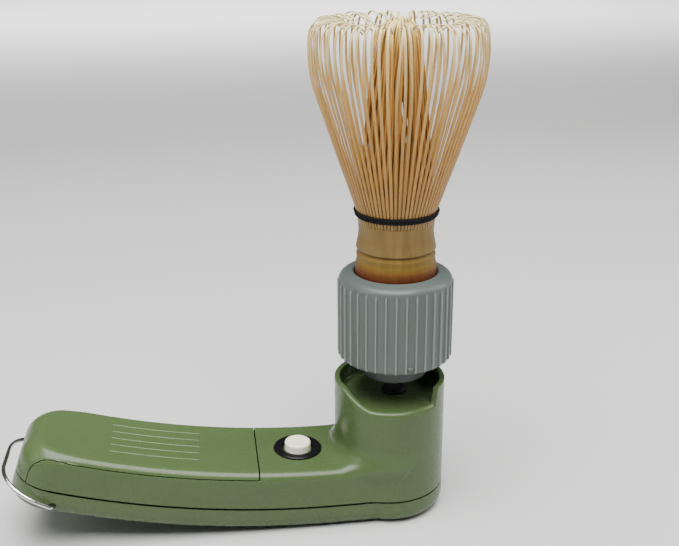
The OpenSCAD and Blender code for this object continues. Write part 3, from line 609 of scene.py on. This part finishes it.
def raise_rim(piece):
    """Grows the head's wall up from its open top, over the rim and down to the recess floor."""
    top = [v for v in piece.verts if abs(v.co.z - SPLIT_H) < 1e-3]
    bmesh.ops.remove_doubles(piece, verts=top, dist=0.12)
    top = [v for v in piece.verts if abs(v.co.z - SPLIT_H) < 1e-3 and v.is_boundary]
    loop = sorted(top, key=lambda v: math.atan2(v.co.y, -(v.co.x - A_HEAD)))
    rows = []
    inner = HEAD_R - WALL
    for v in loop:
        theta = math.atan2(v.co.y, -(v.co.x - A_HEAD))
        rim = rim_height(math.degrees(theta))
        low = 1 - (rim - RIM_LOW) / (RIM_Z - RIM_LOW)
        ro = 0.45 + 1.15 * low
        ri = 0.35
        profile = [(HEAD_R, z) for z in np.linspace(SPLIT_H + 1, rim - ro - 0.6, 8)]
        profile += [
            (HEAD_R - ro + ro * math.cos(t), rim - ro + ro * math.sin(t))
            for t in np.linspace(0, math.pi / 2, 7)
        ]
        drop = min(ri, max(rim - FLOOR_Z - 0.15, 0.05))
        profile += [
            (inner + ri - ri * math.sin(t), rim - drop + drop * math.cos(t))
            for t in np.linspace(0, math.pi / 2, 5)
        ]
        bottom = FLOOR_Z + 0.3
        base = max(rim - drop - 0.02, FLOOR_Z + 0.02)
        profile += [(inner, min(base, bottom + (base - bottom) * f)) for f in (0.66, 0.33)]
        profile += [(inner - 0.05, min(base, bottom)), (inner - 0.4, FLOOR_Z)]
        profile += [(r, FLOOR_Z) for r in (14.5, 12.0, 9.0, 6.0)]
        rows.append([v] + [
            piece.verts.new((A_HEAD - r * math.cos(theta), r * math.sin(theta), z)) for r, z in profile
        ])
    for row, v in zip(rows, loop):
        theta = math.atan2(v.co.y, -(v.co.x - A_HEAD))
        for z in (FLOOR_Z, FLOOR_Z - WALL):
            row.append(piece.verts.new((SEAL_HOLE_R * -math.cos(theta), SEAL_HOLE_R * math.sin(theta), z)))
    n = len(rows)
    for i in range(n):
        a, b = rows[i], rows[(i + 1) % n]
        for k in range(len(a) - 1):
            piece.faces.new((a[k], b[k], b[k + 1], a[k + 1]))
    bmesh.ops.recalc_face_normals(piece, faces=piece.faces)


def finish_casing(piece, name, stands_for, body, bevel=0.22):
    coords = np.array([v.co[:] for v in piece.verts])
    coords = place(*coords.T) * MM
    for v, c in zip(piece.verts, coords):
        v.co = c
    bmesh.ops.recalc_face_normals(piece, faces=piece.faces)
    mesh = bpy.data.meshes.new(name)
    piece.to_mesh(mesh)
    piece.free()
    mesh.materials.append(GREEN)
    mesh.polygons.foreach_set("use_smooth", [True] * len(mesh.polygons))
    obj = bpy.data.objects.new(name, mesh)
    bpy.context.scene.collection.objects.link(obj)
    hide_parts(stands_for)
    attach(obj, body)
    mod = obj.modifiers.new("edges", "BEVEL")
    mod.width = bevel * MM
    mod.segments = 2
    mod.limit_method = "ANGLE"
    mod.angle_limit = math.radians(50)
    mod.harden_normals = True


lower, upper, cover = build_casing()
for want, piece in enumerate((lower, upper, cover)):
    open_gap(piece, want)
lips(lower, WALL)
lips(upper, WALL, lambda e: all(abs(v.co.z - SPLIT_H) < 1e-3 for v in e.verts))
lips(cover, WALL)
raise_rim(upper)
finish_casing(lower, "lower_casing_skin", "lower_casing", "casing")
finish_casing(upper, "upper_casing_skin", "upper_casing", "casing")
finish_casing(cover, "battery_cover_skin", "battery_cover", "cover")


# ---------- button ----------
def on_bow(verts, a):
    """Moves points given about an upright axis onto the bowed handle at distance a."""
    phi = (a - BOW_START) / BOW_MID
    out = []
    for x, y, h in verts:
        out.append((
            -BOW_START + x * math.cos(phi) - (BOW_R - h) * math.sin(phi),
            y,
            BOW_R - x * math.sin(phi) - (BOW_R - h) * math.cos(phi),
        ))
    return out


cap = rounded([
    (0, 17.3), (5.7, 17.3), (5.7, 18.7), (BUTTON_R, 18.7), (BUTTON_R, 23.9, 1.1), (2.6, 23.75, 0.4),
    (0, 23.6),
], 0.15, 6)
v, f = lathe(cap, 96)
add_object("button_cap_skin", on_bow(v, A_BUTTON), f, IVORY, "button", ["button_cap"])
ring = rounded([
    (BUTTON_R + 0.25, 18.9), (6.35, 18.9), (6.35, 20.95), (8.0, 20.95), (8.0, 21.35, 0.3), (7.5, 21.8, 0.4),
    (5.6, 21.8, 0.5), (BUTTON_R + 0.25, 21.1, 0.4),
], 0.1, 4)
v, f = lathe(ring, 96)
add_object("button_ring_skin", on_bow(v, A_BUTTON), f, BLACK, "casing", ["button_bezel"])

# ---------- chuck ----------
RIBS = 36


def ribbed(a, r, z):
    if r < NUT_R - 1.4 or z > SHOULDER_Z + 0.3 or z < NUT_Z + 0.1:
        return r
    t = (a * RIBS / (2 * math.pi)) % 1.0
    d = min(t, 1 - t)
    rib = step01((0.135 - d) / 0.07)
    ends = min(1.0, (z - NUT_Z - 0.1) / 0.5) * step01((SHOULDER_Z + 0.2 - z) / 1.1)
    return r + (0.45 * rib - 0.13 * math.sin(math.pi * d) * (1 - rib)) * ends


def nut_outline():
    outer = [(THREAD_BORE_R, NUT_Z), (17.2, NUT_Z), (18.0, NUT_Z + 0.9)]
    outer += [(18.03, NUT_Z + 1.0 + 0.12), (NUT_BODY_R, NUT_Z + 1.6)]
    outer += [(NUT_BODY_R, z) for z in np.linspace(NUT_Z + 2.4, SHOULDER_Z - 1.4, 14)]
    outer += [(NUT_BODY_R, SHOULDER_Z - 0.8), (18.03, SHOULDER_Z - 0.2)]
    outer += [
        (18.03 - 3.2 * (1 - math.cos(t)), SHOULDER_Z - 0.2 + 2.35 * math.sin(t))
        for t in np.linspace(0.12, math.pi / 2, 12)
    ]
    outer += [(14.3, LIP_Z - 0.08), (13.9, LIP_Z), (13.6, LIP_Z - 0.02)]
    outer += [(13.3, LIP_Z - 0.25), (13.2, LIP_Z - 0.6)]
    outer += [(13.2, 78.5), (13.9, 78.3), (THREAD_BORE_R, 66.0)]
    return outer


v, f = lathe(nut_outline(), RIBS * 30, radial=ribbed)
nut = add_object("chuck_nut_skin", v, f, RIBBED, "nut", ["chuck_nut"])
sharpen(nut, 60)
# painted highlight mask: 1 on the rib crests, standing for the light they catch
crest_highlight = [max(0.0, min(1.0, (math.hypot(x, y) - 18.1) / 0.3)) for x, y, _ in v]
nut.data.attributes.new("crest_highlight", "FLOAT", "POINT").data.foreach_set("value", crest_highlight)
mark_angle = math.radians(-85)
mark = bmesh.new()
bmesh.ops.create_cube(mark, size=1.0)
bmesh.ops.scale(mark, vec=(0.9, 2.1, 1.5), verts=mark.verts)
bmesh.ops.bevel(mark, geom=mark.edges, offset=0.16, segments=2, affect="EDGES")
matrix = Matrix.Rotation(mark_angle, 4, "Z") @ Matrix.Translation((17.85, 0, NUT_Z + 2.1))
bmesh.ops.transform(mark, matrix=matrix, verts=mark.verts)
mark.verts.ensure_lookup_table()
mark_faces = [[q.index for q in face.verts] for face in mark.faces]
add_object("nut_index_mark", [p.co[:] for p in mark.verts], mark_faces, GREY, "nut")
mark.free()

hub = rounded([
    (0, BOSS_Z), (BOSS_R, BOSS_Z, 0.5), (BOSS_R, NUT_Z + 0.3, 0.2),
    (HUB_R, NUT_Z + 0.3, 0.3), (HUB_R, 63.8, 0.3),
    (13.1, 63.8, 0.2), (13.1, 57.0), (0, 57.0),
], 0.1, 5)
v, f = lathe(hub, 144)
hub_obj = add_object("chuck_hub_skin", v, f, DARK_GREY, "spindle", ["chuck_hub"])
sharpen(hub_obj)
seal = rounded([
    (2.06, FLOOR_Z - 0.6), (3.2, FLOOR_Z - 0.6), (3.2, FLOOR_Z), (4.0, FLOOR_Z), (4.0, FLOOR_Z + 0.8, 0.3),
    (3.1, FLOOR_Z + 1.2, 0.3), (3.1, 47.2, 0.3), (2.06, 47.2),
], 0.05, 4)
v, f = lathe(seal, 96)
seal_obj = add_object("shaft_seal_skin", v, f, RUBBER, "casing", ["shaft_seal"])
sharpen(seal_obj)

# ---------- plain rules printed on the cover ----------
RULE_HALF_W = 0.09

for i, across in enumerate((9.0, 4.6, 0.4, -3.8, -8.0)):
    verts, faces = [], []
    columns = np.linspace(66.6, 96.0, 16)
    for k, a in enumerate(columns):
        for side, lift in ((-1, 0.0), (-1, 0.03), (1, 0.03), (1, 0.0)):
            verts.append(place(a, across + side * RULE_HALF_W, CASE_H + lift))
        if k:
            for s in range(4):
                e = (s + 1) % 4
                faces.append((4 * k - 4 + s, 4 * k - 4 + e, 4 * k + e, 4 * k + s))
    faces += [(3, 2, 1, 0), (60, 61, 62, 63)]
    add_object(f"cover_rule_{i + 1}", verts, faces, PRINT, "cover", smooth=False)

# ---------- hanging loop ----------
pivot_phi = END_ANGLE - math.radians(2.65)
pivot = place(BOW_START + BOW_MID * pivot_phi, 0.0, 3.8)
tilt = math.radians(30.0)
REACH, LOOP_Y, BEND, WIRE_R = 17.6, HALF_W + 1.4, 13.0, 0.65


def loop_point(s, y):
    return (pivot[0] - s * math.cos(tilt), y, pivot[2] + s * math.sin(tilt))


path = [loop_point(0, -LOOP_Y + d) for d in (4.0, 3.0, 2.0, 1.2)]
path += [
    loop_point(0.9 * (1 - math.cos(t)), -LOOP_Y + 0.9 * (1 - math.sin(t)))
    for t in np.linspace(0.15, math.pi / 2, 6)
]
path += [loop_point(s, -LOOP_Y) for s in np.linspace(1.6, REACH - BEND, 4)]
path += [
    loop_point(REACH - BEND + BEND * math.sin(t), -LOOP_Y + BEND * (1 - math.cos(t)))
    for t in np.linspace(0.1, math.pi / 2, 14)
]
path += [loop_point(REACH, y) for y in np.linspace(-LOOP_Y + BEND + 1.0, 0, 4)]
path += [(p[0], -p[1], p[2]) for p in path[-2::-1]]
tube("hanging_wire_skin", path, WIRE_R, STEEL, "loop", ["hanging_wire"], steps=16)

# painted shade: a flat black disc on each side of the casing stands for the dark hole where the wire goes in
for side in (-1, 1):
    eye = [(HALF_W + 0.03, 0.0, 0.0)] + [
        (HALF_W + 0.03, 1.25 * math.cos(t), 0.95 * math.sin(t)) for t in np.linspace(0, 2 * math.pi, 25)[:-1]
    ]
    verts = [(pivot[0] + u, side * y, pivot[2] + w) for y, u, w in eye]
    faces = [(0, 1 + k, 1 + (k + 1) % 24) for k in range(24)]
    add_object(f"loop_hole_painted_shade_{'right' if side > 0 else 'left'}", verts, faces, BLACK, "casing")

# ---------- whisk ----------
grip_profile = [
    (9.7, 57.0), (12.5, 57.0, 0.3), (12.9, 57.6, 0.2), (12.9, 84.9, 0.2), (12.55, 86.1, 0.5),
    (12.35, 87.2, 0.3), (12.5, 88.6, 0.4), (12.1, 89.6, 0.3), (12.05, 90.05, 0.1), (12.6, 90.5, 0.25),
    (12.45, 91.6, 0.6), (11.95, 94.0, 2.0), (11.72, 96.2, 2.0), (11.9, 98.2, 1.0),
    (12.0, TINE_FOOT_Z, 0.1), (9.7, TINE_FOOT_Z),
]


def culm(a, r, z):
    if r < 10:
        return r
    return r + 0.05 * math.sin(3 * a + 0.6) + 0.035 * math.sin(7 * a + z * 0.2) + 0.02 * math.sin(17 * a)


v, f = lathe(rounded(grip_profile, 0.2, 4), 192, radial=culm)
grip_obj = add_object("whisk_grip_skin", v, f, GRIP, "whisk", ["whisk_grip"])
sharpen(grip_obj, 50)


# section of a split strip: across, out
STRIP_SECTION = (
    (-1, -0.5), (-0.6, -1), (0.6, -1), (1, -0.5), (1, 0.45), (0.65, 1), (-0.65, 1), (-1, 0.45),
)


def strips(name, lines, material, stands_for):
    """Bamboo strips as one mesh. Each line is (points, outward directions, widths, thicknesses, tone)."""
    verts, faces, run, tones = [], [], [], []
    for pts, outs, widths, thick, tone in lines:
        n = len(pts)
        base = len(verts)
        for i in range(n):
            t = pts[min(i + 1, n - 1)] - pts[max(i - 1, 0)]
            t /= np.linalg.norm(t)
            side = np.cross(t, outs[i])
            side /= np.linalg.norm(side)
            out = np.cross(side, t)
            w, d = widths[i] / 2, thick[i] / 2
            for a, b in STRIP_SECTION:
                verts.append(pts[i] + side * w * a + out * d * b)
                run.append(i / (n - 1))
                tones.append(tone)
        for i in range(n - 1):
            for k in range(8):
                m = (k + 1) % 8
                near = base + i * 8
                far = near + 8
                faces.append((near + k, far + k, far + m, near + m))
        faces.append(tuple(base + k for k in range(8)))
        faces.append(tuple(base + (n - 1) * 8 + k for k in range(8))[::-1])
    obj = add_object(name, verts, faces, material, "whisk", stands_for)
    for key, data in (("run", run), ("tone", tones)):
        attribute = obj.data.attributes.new(key, "FLOAT", "POINT")
        attribute.data.foreach_set("value", data)


BELL_R = 26.7


def outer_curve(spread, curl, reach):
    """(r, z) points of an outer tine, from the slit's foot to the tip."""
    pts = [(11.66, 98.6), (11.78, 99.8), (12.0, 101.0), (12.3, 102.6)]
    belly_z = 149.5
    lean = math.radians(18.2)
    radius = 38.0
    r_belly = BELL_R * spread
    start = (r_belly - radius * (1 - math.cos(lean)), belly_z - radius * math.sin(lean))
    for s in np.linspace(0.12, 1, 9):
        pts.append((12.3 + (start[0] - 12.3) * s, 102.6 + (start[1] - 102.6) * s))
    for t in np.linspace(lean, 0, 7)[1:]:
        pts.append((r_belly - radius * (1 - math.cos(t)), belly_z - radius * math.sin(t)))
    z, r, heading = belly_z, r_belly, 0.0
    stride = 0.7
    length = 0.0
    while length < 16.4 * reach:
        if length < 4.4:
            heading += math.radians(9) * stride / 4.4
        elif length < 11.2:
            heading += math.radians(84) * curl * stride / 6.8
        else:
            heading += math.radians(26) * stride / 5.0
        r -= math.sin(heading) * stride
        z += math.cos(heading) * stride
        length += stride
        pts.append((r, z))
    return pts


def resample(pts, count):
    pts = np.array(pts, float)
    d = np.concatenate([[0], np.cumsum(np.linalg.norm(np.diff(pts, axis=0), axis=1))])
    s = np.linspace(0, d[-1], count)
    return np.stack([np.interp(s, d, pts[:, k]) for k in range(pts.shape[1])], -1)


OUTER_COUNT = 72
rng = random.Random(11)
lines = []
for i in range(OUTER_COUNT):
    angle = 2 * math.pi * (i + 0.5) / OUTER_COUNT
    curve = outer_curve(1 - abs(rng.gauss(0, 0.006)), rng.uniform(0.9, 1.1), rng.uniform(0.9, 1.08))
    curve = resample(curve, 42)
    top = curve[:, 1].max()
    curve[:, 1] += (np.clip((curve[:, 1] - 103) / 50, 0, 1) ** 2) * (TOP_Z - 1.3 - rng.random() * 0.9 - top)
    swing = rng.gauss(0, 0.016)
    lean_side = rng.gauss(0, 0.035)
    pts = []
    n = len(curve)
    for k, (r, z) in enumerate(curve):
        s = k / (n - 1)
        a = angle + swing * s * s + lean_side * max(0.0, s - 0.6) ** 1.5 * 3
        pts.append(np.array([r * math.cos(a), r * math.sin(a), z]))
    # the strip's broad face stays square to the curl
    tangents = [pts[min(k + 1, n - 1)] - pts[max(k - 1, 0)] for k in range(n)]
    across = np.array([-math.sin(angle), math.cos(angle), 0.0])
    outs = [np.cross(across, t / np.linalg.norm(t)) for t in tangents]
    broad = rng.uniform(0.86, 1.04)
    widths = [0.86 + (0.1 * math.sin(math.pi * k / n) - 0.24 * (k / n) ** 2) * broad for k in range(n)]
    thick = [0.55 - 0.2 * (k / n) for k in range(n)]
    lines.append((pts, outs, widths, thick, rng.random()))
strips("outer_tines_skin", lines, OUTER, ["outer_tines"])

INNER_COUNT = 138
lines = []
for i in range(INNER_COUNT):
    angle = 2 * math.pi * (i + rng.uniform(-0.3, 0.3)) / INNER_COUNT
    ring = i % 3
    twist = math.radians(rng.uniform(18, 62) if ring else rng.uniform(-10, 24))
    top_r = (5.9, 4.4, 2.6)[ring] * rng.uniform(0.8, 1.15)
    high = 162.6 - 0.06 * top_r * top_r - rng.uniform(0, 1.5)
    hook_r, hook_z = rng.uniform(0.6, 2.6), rng.uniform(0.8, 2.4)
    foot = (10.9, 10.4, 9.9)[ring]
    pts, outs = [], []
    n = 34
    phase = rng.uniform(0, 6.28)
    for k in range(n):
        s = k / (n - 1)
        z = TINE_FOOT_Z + (high - TINE_FOOT_Z) * s
        r = foot + (top_r - foot) * s ** 1.1 + 0.9 * math.sin(math.pi * s ** 0.8)
        a = angle + twist * s ** 1.3 + 0.03 * math.sin(phase + 6 * s)
        if s > 0.9:
            hook = (s - 0.9) / 0.1
            r -= hook_r * hook * hook
            z -= hook_z * hook ** 3
            a += 0.12 * hook * math.sin(phase)
        pts.append(np.array([r * math.cos(a), r * math.sin(a), z]))
        outs.append(np.array([math.cos(a), math.sin(a), 0.0]))
    widths = [0.68 - 0.14 * k / n for k in range(n)]
    thick = [0.42 - 0.1 * k / n for k in range(n)]
    lines.append((pts, outs, widths, thick, rng.random()))
strips("inner_tines_skin", lines, INNER, ["inner_tines"])

# thread: two turns that weave in and out between the outer tines
for turn, (z, phase) in enumerate(zip(THREAD_Z, (0.0, math.pi))):
    pts = []
    count = OUTER_COUNT * 10
    for k in range(count):
        a = 2 * math.pi * k / count
        wave = math.cos(OUTER_COUNT * (a - math.pi / OUTER_COUNT) + phase)
        r = 12.42 + (z - THREAD_Z[0]) * 0.25 + 0.24 * wave
        pts.append((r * math.cos(a), r * math.sin(a), z + 0.22 * wave))
    name = f"thread_turn_{turn + 1}"
    tube(name, pts, THREAD_R, THREAD, "whisk", ["binding_thread"] if turn == 0 else (), closed=True, steps=8)

# ---------- carried-over CAD pieces ----------
carried = {
    STEEL: [
        "casing_screws", "button_spring", "hub_screw", "spindle", "plate_screws", "motor_can", "motor_shaft",
        "front_contacts", "rear_contact",
    ],
    WHITE: ["chuck_collet", "output_gear", "gear_plate", "motor_end_cap"],
    BRONZE: ["upper_bush", "lower_bush", "pinion"],
    COPPER: ["motor_windings", "motor_commutator"],
    CELL: ["battery_left", "battery_right"],
    BLACK: ["switch_body"],
    MAGNET: ["motor_magnets"],
    CORE: ["motor_armature"],
    LEAD: ["lead_wires"],
}
for material, node_name in [(m, n) for m, names in carried.items() for n in names]:
    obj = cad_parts[node_name]
    obj.data.materials.clear()
    obj.data.materials.append(material)
    obj.data.polygons.foreach_set("use_smooth", [True] * len(obj.data.polygons))
    sharpen(obj, 30)

# ---------- stage ----------
floor_mesh = bpy.data.meshes.new("floor")
floor_mesh.from_pydata([(-4, -3, 0), (4, -3, 0), (4, 5, 0), (-4, 5, 0)], [], [(0, 1, 2, 3)])
floor = bpy.data.objects.new("floor", floor_mesh)
bpy.context.scene.collection.objects.link(floor)
floor_mat, tree, bsdf = nodes_for("floor_paper")
paper = ramp(tree, noise(tree, 3, 2), [(0.0, (0.52, 0.52, 0.515)), (1.0, (0.56, 0.56, 0.555))])
tree.links.new(paper, bsdf.inputs["Base Color"])
bsdf.inputs["Roughness"].default_value = 0.8
floor_mesh.materials.append(floor_mat)

world = bpy.data.worlds.new("studio")
bpy.context.scene.world = world
world.use_nodes = True
world.node_tree.nodes["Background"].inputs["Color"].default_value = (1.0, 1.0, 1.0, 1.0)
world.node_tree.nodes["Background"].inputs["Strength"].default_value = 0.08


def area(name, where, target, size, power, colour=(1, 1, 1)):
    data = bpy.data.lights.new(name, "AREA")
    data.shape = "RECTANGLE"
    data.size, data.size_y = size
    data.energy = power
    data.color = colour
    obj = bpy.data.objects.new(name, data)
    bpy.context.scene.collection.objects.link(obj)
    obj.location = where
    obj.rotation_euler = (Vector(target) - Vector(where)).to_track_quat("-Z", "Y").to_euler()


area("top_soft", (-0.08, -0.22, 1.0), (-0.03, 0, 0.05), (0.9, 0.9), 34)
area("back_wash", (0.0, 1.6, 0.9), (0.0, 2.4, 0.0), (2.4, 0.8), 90)
area("left_soft", (-0.9, -0.3, 0.6), (0, 0, 0.1), (0.5, 0.7), 2.5)
area("right_strip", (0.8, 0.1, 0.5), (0, 0, 0.1), (0.2, 0.7), 4)

camera_data = bpy.data.cameras.new("camera")
camera = bpy.data.objects.new("camera", camera_data)
bpy.context.scene.collection.objects.link(camera)
bpy.context.scene.camera = camera
right = Vector((0.98980, -0.14232, -0.00601)).normalized()
forward = Vector((0.13167, 0.93021, -0.34260)).normalized()
up = right.cross(forward).normalized()
right = forward.cross(up).normalized()
camera.matrix_world = Matrix((
    (right.x, up.x, -forward.x, -0.05927),
    (right.y, up.y, -forward.y, -0.29203),
    (right.z, up.z, -forward.z, 0.18990),
    (0, 0, 0, 1),
))
camera_data.sensor_width = 36.0
camera_data.lens = 53.02
camera_data.clip_start = 0.01
